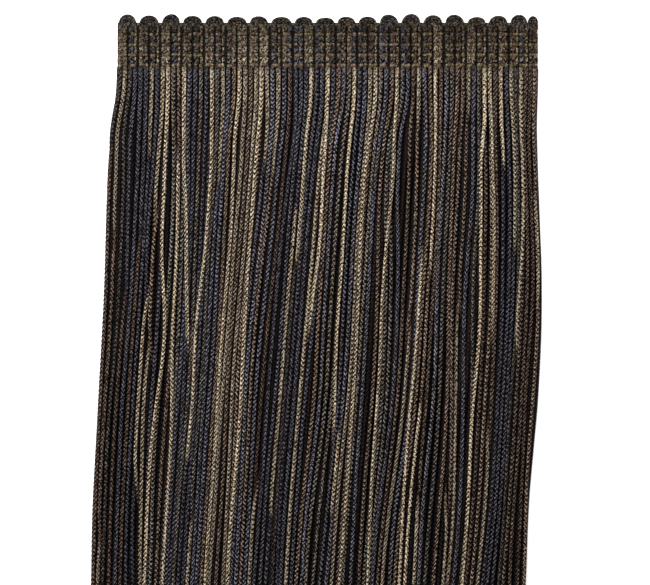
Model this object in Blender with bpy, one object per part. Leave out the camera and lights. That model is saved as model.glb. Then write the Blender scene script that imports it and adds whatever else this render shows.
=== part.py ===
"""A chainette fringe, lying face up on a flat surface.

Looped yarns stand side by side in a heading with a scalloped top. Four stitched rows bind them across.
Below the heading the same yarns hang free as a long skirt, two deep, with a few riding over the rest.
Sizes are in millimetres and are turned to metres when the meshes are made.
"""
import math
import random

import bmesh
import bpy

METRES = 0.001

# Heading: 39 ribs of two yarns, paired into 19 full scallops and a half one.
FULL_SCALLOPS = 19
LANES_PER_SCALLOP = 4
LANES = FULL_SCALLOPS * LANES_PER_SCALLOP + 2
LANE_PITCH = 1.615
HEADING_WIDTH = LANES * LANE_PITCH
HEADING_DEPTH = 15.9
SCALLOP_SHIFTS = (
    # how far each scallop starts right of its even place, from the left, and then the right end
    *(0.0, -0.3, 0.0, -0.15, 0.15, 0.2, 0.55, 0.5, 1.1, 0.95, 1.05),
    *(0.9, 0.8, 0.85, 0.95, 1.1, 1.25, 1.15, 1.25, 0.7, 0.0),
)
RADIUS_SHARE = 0.88
SCALLOP_BASE = 2.1
SCALLOP_RISES = (
    # how far each scallop stands above the line of their tops, from the left
    *(0.45, 0.1, 0.55, 0.0, -0.05, -0.3, -0.1, -0.35, -0.3, -0.55),
    *(-0.25, -0.25, 0.4, 0.55, 0.2, 0.35, -0.35, 0.05, 0.35, -0.05),
)
SCALLOP_STEPS = 6
SCALLOP_SEED = 11
SCALLOP_LEAN = 0.12

# Relief of the ribs, as heights above the surface that the fringe lies on.
YARN_CREST = 3.0
YARN_SHOULDER = 2.39
YARN_VALLEY = 2.75
RIB_GROOVE = 2.1
SCALLOP_GROOVE = 1.7
PINCH = 0.35

# Depths are measured down from the tops of the scallops.
BINDING_DEPTHS = (5.5, 8.6, 11.7, 14.8)
BINDING_WIDTH = 1.5
BINDING_TOP_WIDTH = 0.9
BINDING_LOW = 0.35
BINDING_HIGH = 0.65
BINDING_SWAY = 0.12
PIECE_GAP = 0.3
STRIP_WIDTH = 2.5

# Skirt: one strand for each lane in a lower and an upper layer.
FRINGE_LENGTH = 180.0
LENGTH_SPREAD = 1.5
LENGTH_SEED = 23
STRAND_BASE = 1.12
STRAND_TOP = 0.85
STRAND_HEIGHT = 1.3
LOWER_BASE = 0.0
UPPER_BASE = LOWER_BASE + STRAND_HEIGHT + PIECE_GAP
RIDER_BASE = UPPER_BASE + STRAND_HEIGHT + PIECE_GAP
LOWER_STEPS = 4
UPPER_STEPS = 6
LEAST_PITCH = 1.3
LOWER_STAGGER = 0.8

# Bunching of the strands: wave lengths down the skirt with their strengths. The lower layer stays more even.
BUNCH_WAVES = ((400.0, 1.0), (170.0, 0.6), (75.0, 0.16))
BUNCH_ONSET = 22.0
LOWER_BUNCHING = 0.15
UPPER_BUNCHING = 0.9
LOWER_SEED = 41
UPPER_SEED = 42

# Sideways drift of the skirt at eight lane edges, for each depth.
DRIFT_LANES = (0, 12, 24, 36, 48, 60, 72, 78)
DRIFT_ROWS = (
    # depth, then the drift at each of the lane edges
    (15.9, 0.0, 0.0, 0.0, 0.0, 0.0, 0.0, 0.0, 0.0),
    (28.0, -1.0, 0.3, -0.2, -0.6, -0.7, -0.2, 0.5, -0.2),
    (55.0, -2.6, 0.0, -2.2, -3.2, -3.3, -1.0, 1.1, 0.3),
    (85.0, -3.7, -1.2, -4.8, -6.0, -5.2, -2.8, 0.4, 1.4),
    (115.0, -5.3, -2.8, -7.3, -8.3, -7.1, -4.4, -1.3, 0.2),
    (145.0, -6.9, -5.2, -9.4, -10.5, -9.6, -6.9, -3.3, -2.3),
    (170.0, -8.1, -6.8, -11.0, -11.8, -11.4, -8.3, -5.8, -3.4),
    (182.0, -8.7, -7.6, -11.6, -12.3, -12.2, -9.2, -7.0, -4.2),
)

# Upper strands that have worked loose. Each is lifted over a short run and then wanders over its neighbours.
LIFT_RUN = 9.0
RIDER_DEPTHS = (45.0, 70.0, 95.0, 120.0, 145.0, 170.0)
RIDERS = (
    # lane, depth where it lifts, then how many lanes it is off its even place at each of the depths above
    (9, 20.0, -0.3, -0.2, 0.7, 0.0, -0.2, -0.1),
    (11, 30.0, 0.0, 0.0, 0.1, 0.9, 1.2, 1.4),
    (12, 24.0, -0.1, 0.9, 1.8, 1.8, 1.7, 1.6),
    (17, 20.0, 0.3, 0.0, -0.9, -0.5, -1.2, -1.5),
    (26, 20.0, -0.2, -0.1, 0.4, 0.7, 0.7, 0.6),
    (38, 16.0, 0.5, 1.2, 0.6, 0.5, 1.0, 1.3),
    (43, 20.0, 0.0, 0.5, 0.7, 1.2, 1.2, 1.2),
    (47, 20.0, -0.3, -0.2, 0.1, 0.3, 0.5, 0.3),
    (51, 22.0, 0.7, 0.7, 0.6, 0.2, 0.7, 1.0),
    (57, 60.0, 0.0, 0.3, 0.0, -0.5, -0.5, -0.2),
    (67, 20.0, -0.9, -0.8, -0.3, -0.5, -0.1, 0.0),
    (68, 30.0, 0.1, 0.6, 1.0, 1.0, 1.0, 1.0),
    (74, 24.0, -0.1, -0.3, -0.9, -0.9, -0.9, -0.9),
)

# Colours: red, green, blue, as linear values.
HEADING_COLOUR = (0.052, 0.044, 0.034)
SKIRT_COLOUR = (0.105, 0.082, 0.064)
BINDING_COLOURS = ((0.17, 0.105, 0.05), (0.19, 0.13, 0.06), (0.18, 0.12, 0.055), (0.16, 0.11, 0.05))
YARN_ROUGHNESS = 0.6


def smooth_between(values, places, place):
    """A smooth curve through values at rising places, read at one place."""
    last = len(places) - 1
    place = min(max(place, places[0]), places[last])
    left = 0
    while left < last - 1 and place > places[left + 1]:
        left += 1
    span = places[left + 1] - places[left]
    part = (place - places[left]) / span
    before, after = max(left - 1, 0), min(left + 2, last)
    slope_a = (values[left + 1] - values[before]) / (places[left + 1] - places[before]) * span
    slope_b = (values[after] - values[left]) / (places[after] - places[left]) * span
    square, cube = part * part, part * part * part
    return (
        values[left] * (2 * cube - 3 * square + 1)
        + slope_a * (cube - 2 * square + part)
        + values[left + 1] * (3 * square - 2 * cube)
        + slope_b * (cube - square)
    )


def ease(part):
    """From 0 to 1 with level ends."""
    part = min(max(part, 0.0), 1.0)
    return part * part * (3 - 2 * part)


def rib_edge(rib):
    """Where a rib of the heading starts. A scallop spans two ribs, and the last one spans a single rib."""
    scallop, second = divmod(rib, 2)
    starts = [LANES_PER_SCALLOP * LANE_PITCH * at + shift for at, shift in enumerate(SCALLOP_SHIFTS)]
    starts[-1] = HEADING_WIDTH
    if second and scallop < FULL_SCALLOPS:
        return (starts[scallop] + starts[scallop + 1]) / 2
    return starts[scallop + second]


def lane_edge(lane):
    """Where a lane of the heading starts, half a rib wide."""
    rib, second = divmod(lane, 2)
    return (rib_edge(rib) + rib_edge(rib + 1)) / 2 if second else rib_edge(rib)


def bunch_phases(seed):
    """A phase for each wave of each lane."""
    dice = random.Random(seed)
    return [[dice.uniform(0, math.tau) for _ in BUNCH_WAVES] for _ in range(LANES)]


def lane_edges(depth, phases, bunching, stagger):
    """Where the 79 lane edges are at a depth, from the heading's left end."""
    depths = [row[0] for row in DRIFT_ROWS]
    onset = ease((depth - HEADING_DEPTH) / BUNCH_ONSET)
    shares = []
    for lane_phases in phases:
        wave = sum(
            size * math.sin(math.tau * depth / length + phase)
            for (length, size), phase in zip(BUNCH_WAVES, lane_phases)
        )
        shares.append(math.exp(onset * bunching * wave))
    pinned = []
    for column, lane in enumerate(DRIFT_LANES, start=1):
        drift = smooth_between([row[column] for row in DRIFT_ROWS], depths, depth)
        fade = 1.0 - (lane / LANES) ** 4
        pinned.append(lane_edge(lane) + drift + stagger * onset * fade)
    edges = [pinned[0]]
    for section in range(len(DRIFT_LANES) - 1):
        first, end = DRIFT_LANES[section], DRIFT_LANES[section + 1]
        slack = pinned[section + 1] - pinned[section] - LEAST_PITCH * (end - first)
        whole = sum(shares[first:end])
        for lane in range(first, end):
            edges.append(edges[-1] + LEAST_PITCH + slack * shares[lane] / whole)
    return [lane_edge(lane) * (1 - onset) + edge * onset for lane, edge in enumerate(edges)]


def shared_depths(steps):
    """The depths at which all strands of a layer bend, before their tips."""
    run = FRINGE_LENGTH - LENGTH_SPREAD - HEADING_DEPTH
    return [HEADING_DEPTH + run * step / steps for step in range(steps + 1)]


def track(lane, depth, depths, tables):
    """Straight runs between the shared depths, so neighbours never meet."""
    left = 0
    while left < len(depths) - 2 and depth > depths[left + 1]:
        left += 1
    part = (depth - depths[left]) / (depths[left + 1] - depths[left])
    centre_a = (tables[left][lane] + tables[left][lane + 1]) / 2
    centre_b = (tables[left + 1][lane] + tables[left + 1][lane + 1]) / 2
    return centre_a + (centre_b - centre_a) * part


def rider_offset(depth, place, even, lift, *offsets):
    """How far a rider is raised, from 0 to 1, and moved sideways from its lane."""
    raised = min(max((depth - lift) / LIFT_RUN, 0.0), 1.0)
    free = ease((depth - lift - LIFT_RUN) / LIFT_RUN)
    wander = smooth_between(offsets, RIDER_DEPTHS, depth) * LANE_PITCH
    return raised, (wander + even - place) * free


def even_place(lane, depth):
    """Where a strand would lie at a depth if all kept even distances."""
    edges = lane_edges(depth, bunch_phases(0), 0.0, 0.0)
    return (edges[lane] + edges[lane + 1]) / 2


def strand_stations(lane, length, depths, tables, base, rider):
    """Depth, sideways place and base height where one strand bends, root first."""
    stops = depths[:-1] + [length]
    if rider:
        lift = rider[0]
        for stop in (lift, lift + LIFT_RUN, *RIDER_DEPTHS):
            if lift <= stop < length - 1 and all(abs(stop - other) > 1 for other in stops):
                stops.append(stop)
        stops.sort()
    stations = []
    for depth in stops:
        place, height = track(lane, depth, depths, tables), base
        if rider:
            raised, sideways = rider_offset(depth, place, even_place(lane, depth), *rider)
            place += sideways
            height += raised * (RIDER_BASE - UPPER_BASE)
        stations.append((depth, place, height))
    return stations


def point(mesh, across, depth, height):
    """A vertex from its place across, its depth and its height."""
    return mesh.verts.new((across * METRES, -depth * METRES, height * METRES))


def strand_ring(mesh, depth, place, base):
    """The four corners of a strand: lower left, lower right, upper right, upper left."""
    half_base, half_top = STRAND_BASE / 2, STRAND_TOP / 2
    top = base + STRAND_HEIGHT
    return [
        point(mesh, place - half_base, depth, base),
        point(mesh, place + half_base, depth, base),
        point(mesh, place + half_top, depth, top),
        point(mesh, place - half_top, depth, top),
    ]


def grow_strand(mesh, stations):
    """A strand from its root ring to its closed tip. The root ring stays open for the strip."""
    rings = [strand_ring(mesh, *station) for station in stations]
    for near, far in zip(rings, rings[1:]):
        for corner in range(4):
            after = (corner + 1) % 4
            mesh.faces.new((near[corner], far[corner], far[after], near[after]))
    mesh.faces.new(rings[-1])
    return rings[0]


def build_skirt(mesh):
    """Both layers of strands, grown out of a narrow strip under the lowest stitched row."""
    riders = {lane: rest for lane, *rest in RIDERS}
    dice = random.Random(LENGTH_SEED)
    layers = []
    for base, steps, seed, bunching, stagger in (
        (LOWER_BASE, LOWER_STEPS, LOWER_SEED, LOWER_BUNCHING, LOWER_STAGGER),
        (UPPER_BASE, UPPER_STEPS, UPPER_SEED, UPPER_BUNCHING, 0.0),
    ):
        phases, depths = bunch_phases(seed), shared_depths(steps)
        tables = [lane_edges(depth, phases, bunching, stagger) for depth in depths]
        roots = []
        for lane in range(LANES):
            length = FRINGE_LENGTH + dice.uniform(-LENGTH_SPREAD, LENGTH_SPREAD)
            rider = riders.get(lane) if base == UPPER_BASE else None
            roots.append(grow_strand(mesh, strand_stations(lane, length, depths, tables, base, rider)))
        layers.append(roots)
    close_strip(mesh, *layers)


def close_strip(mesh, lower, upper):
    """The strip that the roots are fused into: its front has the roots, the rest is plain."""
    levels = (LOWER_BASE, LOWER_BASE + STRAND_HEIGHT, UPPER_BASE, UPPER_BASE + STRAND_HEIGHT)
    left_end = [point(mesh, 0.0, HEADING_DEPTH, level) for level in levels]
    right_end = [point(mesh, HEADING_WIDTH, HEADING_DEPTH, level) for level in levels]
    rows = []
    for row, (roots, first, second) in enumerate(
        ((lower, 0, 1), (lower, 3, 2), (upper, 0, 1), (upper, 3, 2))
    ):
        line = [left_end[row]]
        for root in roots:
            line += [root[first], root[second]]
        rows.append(line + [right_end[row]])
    for low_row, high_row, all_cells in ((0, 1, False), (1, 2, True), (2, 3, False)):
        low, high = rows[low_row], rows[high_row]
        for cell in range(0, len(low) - 1, 1 if all_cells else 2):
            mesh.faces.new((low[cell], low[cell + 1], high[cell + 1], high[cell]))
    seam_depth = HEADING_DEPTH - STRIP_WIDTH
    backs = []
    for level in (levels[0], levels[3]):
        backs.append([point(mesh, lane_edge(lane), seam_depth, level) for lane in range(LANES + 1)])
    for front, back, upward in ((rows[0], backs[0], False), (rows[3], backs[1], True)):
        for face in zip_edges(front, back):
            mesh.faces.new(face if upward else face[::-1])
    for lane in range(LANES):
        low, high = backs
        mesh.faces.new((low[lane + 1], low[lane], high[lane], high[lane + 1]))
    mesh.faces.new((rows[0][0], rows[1][0], rows[2][0], rows[3][0], backs[1][0], backs[0][0]))
    mesh.faces.new((backs[0][-1], backs[1][-1], rows[3][-1], rows[2][-1], rows[1][-1], rows[0][-1]))


def zip_edges(front, back):
    """Faces between the front edge, two points a lane and its ends, and the back edge, one a lane."""
    faces = [(front[0], front[1], back[0])]
    for lane in range(LANES):
        left, right = front[2 * lane + 1], front[2 * lane + 2]
        faces.append((left, right, back[lane + 1], back[lane]))
        faces.append((right, front[2 * lane + 3], back[lane + 1]))
    return faces


def heading_rows():
    """Depth and pinch of each cross row of the heading, from the notches down to the seam."""
    seam = HEADING_DEPTH - STRIP_WIDTH - PIECE_GAP
    rows = [(SCALLOP_BASE, 0.0)]
    bound = [depth for depth in BINDING_DEPTHS if depth < seam]
    for depth, after in zip(bound, bound[1:] + [None]):
        rows.append((depth, PINCH))
        if after:
            rows.append(((depth + after) / 2, 0.0))
    return rows + [(seam, 0.0)]


def build_heading(mesh):
    """Ribs and scallops, one loop of yarns after another, sharing the grooves between them."""
    dice = random.Random(SCALLOP_SEED)
    rows = heading_rows()
    groove_line = groove_points(mesh, 0.0, rows)
    full = ((0.25, YARN_CREST), (0.5, YARN_VALLEY), (0.75, YARN_CREST))
    half = ((0.5, YARN_CREST),)
    for scallop, extra in enumerate(SCALLOP_RISES):
        is_full = scallop < FULL_SCALLOPS
        left, right = rib_edge(2 * scallop), rib_edge(2 * scallop + (2 if is_full else 1))
        reach = (right - left) / 2
        radius = RADIUS_SHARE * reach
        next_line = groove_points(mesh, right, rows)
        loop = {
            "centre": (left + right) / 2,
            "ridges": [(share * reach, height) for share, height in (full if is_full else half)],
            "middle": RIB_GROOVE if is_full else YARN_VALLEY,
            "radius": radius,
            "stretch": (SCALLOP_BASE + extra) / radius,
            "lean": dice.uniform(-SCALLOP_LEAN, SCALLOP_LEAN),
        }
        build_loop(mesh, loop, rows, groove_line, next_line)
        groove_line = next_line
    mesh.faces.new(groove_line[:-2] + [groove_line[-1], groove_line[-2]])


def groove_points(mesh, across, rows):
    """The groove between two scallops, then its lower corners at the notch and at the seam."""
    line = [point(mesh, across, depth, SCALLOP_GROOVE) for depth, _ in rows]
    line.append(point(mesh, across, rows[0][0], 0.0))
    line.append(point(mesh, across, rows[-1][0], 0.0))
    if across == 0.0:
        top, notch_foot, seam_foot = line[:-2], line[-2], line[-1]
        mesh.faces.new([notch_foot, seam_foot] + top[::-1])
    return line


def build_loop(mesh, loop, rows, left_groove, right_groove):
    """One scallop: straight ribs from the seam to the notches and a half ring over them."""
    centre, ridges = loop["centre"], loop["ridges"]
    profile = [(-reach, height) for reach, height in reversed(ridges)]
    profile += [(0.0, loop["middle"])] + list(ridges)
    columns = [left_groove[:-2]]
    for offset, height in profile:
        columns.append([point(mesh, centre + offset, depth, height - pinch) for depth, pinch in rows])
    columns.append(right_groove[:-2])
    rim, rim_feet = cap_rim(mesh, loop)
    for column in range(len(columns) - 1):
        for row in range(len(rows) - 1):
            left, right = columns[column], columns[column + 1]
            face = [left[row], left[row + 1], right[row + 1], right[row]]
            if row == 0 and column == 0:
                face.append(rim[0])
            if row == 0 and column == len(columns) - 2:
                face.append(rim[-1])
            mesh.faces.new(face)
    build_cap(mesh, loop, columns, rim, rim_feet)
    left_notch, left_seam = left_groove[-2:]
    right_notch, right_seam = right_groove[-2:]
    mesh.faces.new((left_groove[0], rim[0], rim_feet[0], left_notch))
    mesh.faces.new((rim[-1], right_groove[0], right_notch, rim_feet[-1]))
    mesh.faces.new([column[-1] for column in columns] + [right_seam, left_seam])
    mesh.faces.new([left_seam, left_notch] + rim_feet + [right_notch, right_seam])


def cap_point(mesh, loop, reach, angle, height):
    """A vertex of the half ring. The angle runs from the left notch over the top to the right one."""
    rise = reach * math.sin(angle)
    across = loop["centre"] - reach * math.cos(angle) + loop["lean"] * rise
    return point(mesh, across, SCALLOP_BASE - rise * loop["stretch"], height)


def cap_rim(mesh, loop):
    """The outer edge of a scallop at shoulder height, and its foot on the surface."""
    angles = [math.pi * step / SCALLOP_STEPS for step in range(SCALLOP_STEPS + 1)]
    rim = [cap_point(mesh, loop, loop["radius"], angle, YARN_SHOULDER) for angle in angles]
    feet = [cap_point(mesh, loop, loop["radius"], angle, 0.0) for angle in angles]
    return rim, feet


def build_cap(mesh, loop, columns, rim, rim_feet):
    """The yarns bending over the top of a scallop, in rings about its middle."""
    ridges = loop["ridges"]
    middle = len(columns) // 2
    rings = []
    for number, (reach, height) in enumerate(ridges, start=1):
        ring = [columns[middle - number][0]]
        for step in range(1, SCALLOP_STEPS):
            ring.append(cap_point(mesh, loop, reach, math.pi * step / SCALLOP_STEPS, height))
        rings.append(ring + [columns[middle + number][0]])
    rings.append(rim)
    pole = columns[middle][0]
    for step in range(SCALLOP_STEPS):
        mesh.faces.new((pole, rings[0][step + 1], rings[0][step]))
        for inner, outer in zip(rings, rings[1:]):
            mesh.faces.new((inner[step], inner[step + 1], outer[step + 1], outer[step]))
        mesh.faces.new((rim[step], rim[step + 1], rim_feet[step + 1], rim_feet[step]))


def build_binding(mesh, row, depth):
    """A stitched row: a thin bar that swells over each rib and is drawn in at each groove."""
    over_strip = depth > HEADING_DEPTH - STRIP_WIDTH
    carrier = UPPER_BASE + STRAND_HEIGHT if over_strip else YARN_CREST - PINCH / 2
    base = carrier + PIECE_GAP
    previous = None
    for lane in range(LANES + 1):
        over_rib = lane % 2
        high = BINDING_HIGH if over_rib else BINDING_LOW
        middle = depth + BINDING_SWAY * math.sin(lane * 1.7 + row)
        across = min(max(lane_edge(lane), PIECE_GAP), HEADING_WIDTH - PIECE_GAP)
        ring = [
            point(mesh, across, middle + BINDING_WIDTH / 2, base),
            point(mesh, across, middle - BINDING_WIDTH / 2, base),
            point(mesh, across, middle - BINDING_TOP_WIDTH / 2, base + high),
            point(mesh, across, middle + BINDING_TOP_WIDTH / 2, base + high),
        ]
        if previous:
            for corner in range(4):
                after = (corner + 1) % 4
                mesh.faces.new((previous[corner], previous[after], ring[after], ring[corner]))
        else:
            mesh.faces.new(ring[::-1])
        previous = ring
    mesh.faces.new(previous)


def yarn_material(name, colour):
    """A matt yarn colour."""
    material = bpy.data.materials.new(name)
    material.use_nodes = True
    shader = material.node_tree.nodes["Principled BSDF"]
    shader.inputs["Base Color"].default_value = (*colour, 1.0)
    shader.inputs["Roughness"].default_value = YARN_ROUGHNESS
    shader.inputs["Metallic"].default_value = 0.0
    return material


def make_piece(name, colour, build, *sizes):
    """One object with its own mesh and material."""
    shape = bmesh.new()
    build(shape, *sizes)
    bmesh.ops.recalc_face_normals(shape, faces=shape.faces)
    mesh = bpy.data.meshes.new(name)
    shape.to_mesh(mesh)
    shape.free()
    mesh.materials.append(yarn_material(name, colour))
    piece = bpy.data.objects.new(name, mesh)
    bpy.context.scene.collection.objects.link(piece)
    return piece


def centre_on_origin(pieces):
    """Shift every mesh so that the whole fringe lies centred on the origin."""
    points = [vertex.co for piece in pieces for vertex in piece.data.vertices]
    middle_x = (min(p.x for p in points) + max(p.x for p in points)) / 2
    middle_y = (min(p.y for p in points) + max(p.y for p in points)) / 2
    for piece in pieces:
        for vertex in piece.data.vertices:
            vertex.co.x -= middle_x
            vertex.co.y -= middle_y
        piece.data.update()


def main():
    for old in list(bpy.data.objects):
        bpy.data.objects.remove(old, do_unlink=True)
    pieces = [
        make_piece("heading", HEADING_COLOUR, build_heading),
        make_piece("skirt", SKIRT_COLOUR, build_skirt),
    ]
    for row, (depth, colour) in enumerate(zip(BINDING_DEPTHS, BINDING_COLOURS)):
        pieces.append(make_piece(f"binding_row_{row + 1}", colour, build_binding, row, depth))
    centre_on_origin(pieces)


main()
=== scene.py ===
# %% [markdown]
# # A chainette fringe
#
# This script dresses a plain model of a trimming in real yarn. The fringe lies face up on a pale surface and
# is seen from straight above. Its yarns are small knitted chains. They stand side by side in a stitched
# heading, bend over at the top into scallops, and hang free below as a skirt. Lengths are in millimetres, as
# a trimming maker would give them, and are turned to metres when a mesh is made.

# %% The frame
import math
import random

import bpy
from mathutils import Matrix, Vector


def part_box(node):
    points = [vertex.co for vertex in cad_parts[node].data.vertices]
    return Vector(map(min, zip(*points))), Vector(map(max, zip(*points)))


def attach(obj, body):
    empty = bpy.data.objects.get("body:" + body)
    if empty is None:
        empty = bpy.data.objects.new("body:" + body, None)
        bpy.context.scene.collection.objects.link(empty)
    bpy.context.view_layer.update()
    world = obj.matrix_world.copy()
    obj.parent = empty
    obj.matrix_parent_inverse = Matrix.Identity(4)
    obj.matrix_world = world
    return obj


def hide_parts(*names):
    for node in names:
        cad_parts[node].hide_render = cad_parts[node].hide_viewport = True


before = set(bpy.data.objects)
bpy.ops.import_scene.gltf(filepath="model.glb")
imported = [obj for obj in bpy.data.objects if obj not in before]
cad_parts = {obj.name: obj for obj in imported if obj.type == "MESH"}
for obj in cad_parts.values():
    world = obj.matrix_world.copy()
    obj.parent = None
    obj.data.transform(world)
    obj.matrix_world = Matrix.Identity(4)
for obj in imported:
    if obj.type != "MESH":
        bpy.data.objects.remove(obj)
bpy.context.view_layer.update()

# %% [markdown]
# ## Where things are
#
# Every place on the fringe is given as a distance across, from the heading's left end, and a depth below the
# tops of the scallops. The solids say where that corner is: the strip that the strands grow from starts at a
# known depth, and the heading starts at its left end. One function turns such a place into a point in metres.
# Two more say where a rib of the heading starts, and a lane, which is half a rib. Ribs aren't equally wide.

# %% Places on the fringe
MM = 0.001
LANES = 78
LANE_PITCH = 1.615
RIB_PITCH = 2 * LANE_PITCH
HEADING_DEPTH = 15.9
SCALLOP_SHIFTS = (
    # millimetres by which each scallop starts right of its even place, from the left, and then the right end
    *(0.0, -0.3, 0.0, -0.15, 0.15, 0.2, 0.55, 0.5, 1.1, 0.95, 1.05),
    *(0.9, 0.8, 0.85, 0.95, 1.1, 1.25, 1.15, 1.25, 0.7, 0.0),
)
STRIP_WIDTH = 2.5
FRINGE_LENGTH = 180.0
LENGTH_SPREAD = 1.5

LEFT_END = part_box("heading")[0].x
SCALLOP_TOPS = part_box("skirt")[1].y + (HEADING_DEPTH - STRIP_WIDTH) * MM


def place(across, depth, height):
    """A point in metres from a distance across, a depth and a height, all in millimetres."""
    return Vector((LEFT_END + across * MM, SCALLOP_TOPS - depth * MM, height * MM))


def rib_edge(rib):
    """Where a rib of the heading starts. A scallop spans two ribs, and the last one spans a single rib."""
    scallop, second = divmod(rib, 2)
    starts = [2 * RIB_PITCH * at + shift for at, shift in enumerate(SCALLOP_SHIFTS)]
    starts[-1] = LANES * LANE_PITCH
    if second and scallop + 1 < len(starts) - 1:
        return (starts[scallop] + starts[scallop + 1]) / 2
    return starts[scallop + second]


def lane_edge(lane):
    """Where a lane of the heading starts, half a rib wide."""
    rib, second = divmod(lane, 2)
    return rib_edge(rib) if not second else (rib_edge(rib) + rib_edge(rib + 1)) / 2


print("left end", round(LEFT_END, 5), "scallop tops", round(SCALLOP_TOPS, 5))
print("ribs", [round(rib_edge(rib + 1) - rib_edge(rib), 2) for rib in range(LANES // 2)])

# %% [markdown]
# ## The camera
#
# The photograph looks at the fringe face on, so the camera hangs over it and looks down. The heading's left
# end and its top line are at known pixels of the 650 by 585 frame, and one pixel is 0.30 mm of fringe. That
# gives the point under the middle of the frame, and the width of the view. A long lens from most of a metre
# away keeps the strands at the rim from leaning outwards.

# %% Camera
FRAME_PIXELS = (650, 585)
LEFT_END_PIXEL = 117.2
SCALLOP_TOPS_PIXEL = 15.5
PIXEL_MM = 0.30
CAMERA_HEIGHT = 0.95
YARN_LEVEL = 0.0025
NEAREST_SEEN = 0.01
SENSOR_MM = 36.0


def add_object(name, data):
    """A new object in the scene, at the origin."""
    thing = bpy.data.objects.new(name, data)
    bpy.context.scene.collection.objects.link(thing)
    return thing


middle = place(
    (FRAME_PIXELS[0] / 2 - LEFT_END_PIXEL) * PIXEL_MM,
    (FRAME_PIXELS[1] / 2 - SCALLOP_TOPS_PIXEL) * PIXEL_MM,
    0.0,
)
camera_data = bpy.data.cameras.new("camera")
camera_data.sensor_width = SENSOR_MM
camera_data.lens = SENSOR_MM * (CAMERA_HEIGHT - YARN_LEVEL) / (FRAME_PIXELS[0] * PIXEL_MM * MM)
camera_data.clip_start = NEAREST_SEEN
camera = add_object("camera", camera_data)
camera.location = (middle.x, middle.y, CAMERA_HEIGHT)
bpy.context.scene.camera = camera
print("camera over", tuple(round(c, 4) for c in middle), "lens", round(camera_data.lens, 1))

# %% [markdown]
# ## Wires
#
# Both the shapes and the finishes below are node trees, and both need arithmetic. A wire is one output of a
# node. Adding or multiplying wires adds Math nodes, so that a formula reads as a formula. A board is a tree
# that adds any other node, with its settings first and then its sockets.


# %% Helpers for node trees
class Wire:
    """One output of a node. Arithmetic on it adds Math nodes."""

    def __init__(self, board, socket):
        self.board, self.socket = board, socket

    def other(self, name):
        """Another output of the same node."""
        return Wire(self.board, self.socket.node.outputs[name])

    def maths(self, operation, *others):
        """A Math node with this wire first."""
        return self.board.maths(operation, self, *others)

    def __add__(self, other):
        return self.maths("ADD", other)

    __radd__ = __add__

    def __sub__(self, other):
        return self.maths("SUBTRACT", other)

    def __rsub__(self, other):
        return self.board.maths("SUBTRACT", other, self)

    def __mul__(self, other):
        return self.maths("MULTIPLY", other)

    __rmul__ = __mul__

    def __truediv__(self, other):
        return self.maths("DIVIDE", other)

    def __pow__(self, other):
        return self.maths("POWER", other)


class Board:
    """A node tree that hands out wires."""

    def __init__(self, tree):
        self.tree = tree

    def add(self, kind, inputs=None, **settings):
        """A node of any kind, from the values or wires of its sockets. Its settings are made first."""
        node = self.tree.nodes.new(kind)
        for name, value in settings.items():
            setattr(node, name, value)
        for key, value in (inputs or {}).items():
            self.put(node.inputs[key], value)
        return Wire(self, next(iter(node.outputs), None))

    def put(self, socket, value):
        """Gives a socket a wire or a plain value."""
        if isinstance(value, Wire):
            self.tree.links.new(value.socket, socket)
        else:
            socket.default_value = value

    def maths(self, operation, *values):
        """One Math node."""
        return self.add("ShaderNodeMath", dict(enumerate(values)), operation=operation)

    def vectors(self, operation, *values):
        """One Vector Math node."""
        return self.add("ShaderNodeVectorMath", dict(enumerate(values)), operation=operation)

    def vector(self, *numbers):
        """A vector from its numbers. Those left out are 0."""
        return self.add("ShaderNodeCombineXYZ", dict(enumerate(numbers)))

    def axis(self, vector, name):
        """One number of a vector."""
        return self.add("ShaderNodeSeparateXYZ", {0: vector}).other(name)

    def noise(self, where, scale, detail=2.0):
        """Soft noise around 0.5."""
        return self.add("ShaderNodeTexNoise", {"Vector": where, "Scale": scale, "Detail": detail})

    def mix(self, factor, first, second, blend="MIX"):
        """A colour between two colours."""
        colours = {0: factor, 6: first, 7: second}
        return self.add("ShaderNodeMix", colours, data_type="RGBA", blend_type=blend).other(2)

    def step(self, value, low, high, first=0.0, last=1.0):
        """From a first number to a last one as a value goes from low to high, with soft ends."""
        numbers = {0: value, 1: low, 2: high, 3: first, 4: last}
        return self.add("ShaderNodeMapRange", numbers, interpolation_type="SMOOTHSTEP")


print("helpers ready")

# %% [markdown]
# ## The stitches of a chained yarn
#
# A chainette yarn is knitted on very few needles. On two opposite faces it shows a ladder: a smooth rail on
# either side, rungs between them, and a small dark eye between one rung and the next. On some yarns the rungs
# lean, on others they are V shaped. The height below is 1 on rails and rungs and falls to nearly 0 in an eye.
# It needs the place along the yarn, counted in stitches, and the sine and cosine of the angle round it. The
# same formula shapes the mesh and shades it, so that the two agree.

# %% Stitch height
STITCH = 1.35
# how far from the middle of the face an eye is whole, and where the rail begins
EYE_CORE, EYE_EDGE = 0.4, 0.74
EYE_WAVE = (0.22, 0.58)
EYE_DEPTH, RAIL_DENT = 0.95, 0.7
# how much the rungs of a leaning yarn lean, and those of a V shaped one slope
LEAN, V_SLOPE = 1.15, 0.9


def stitch_height(board, along, sine, cosine, slant):
    """How far the yarn stands out, from 0 to 1, at a place along it and round it."""
    across = sine.maths("ABSOLUTE")
    leaning = along + sine * cosine * slant * LEAN + across * (1.0 - slant) * V_SLOPE
    wave = (leaning * math.tau).maths("COSINE") * 0.5 + 0.5
    in_ladder = board.step(across, EYE_EDGE, EYE_CORE)
    eye = in_ladder * board.step(wave, *EYE_WAVE)
    dent = (1.0 - in_ladder) * wave
    return 1.0 - eye * EYE_DEPTH - dent * RAIL_DENT


print("stitch", STITCH, "mm")

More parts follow.
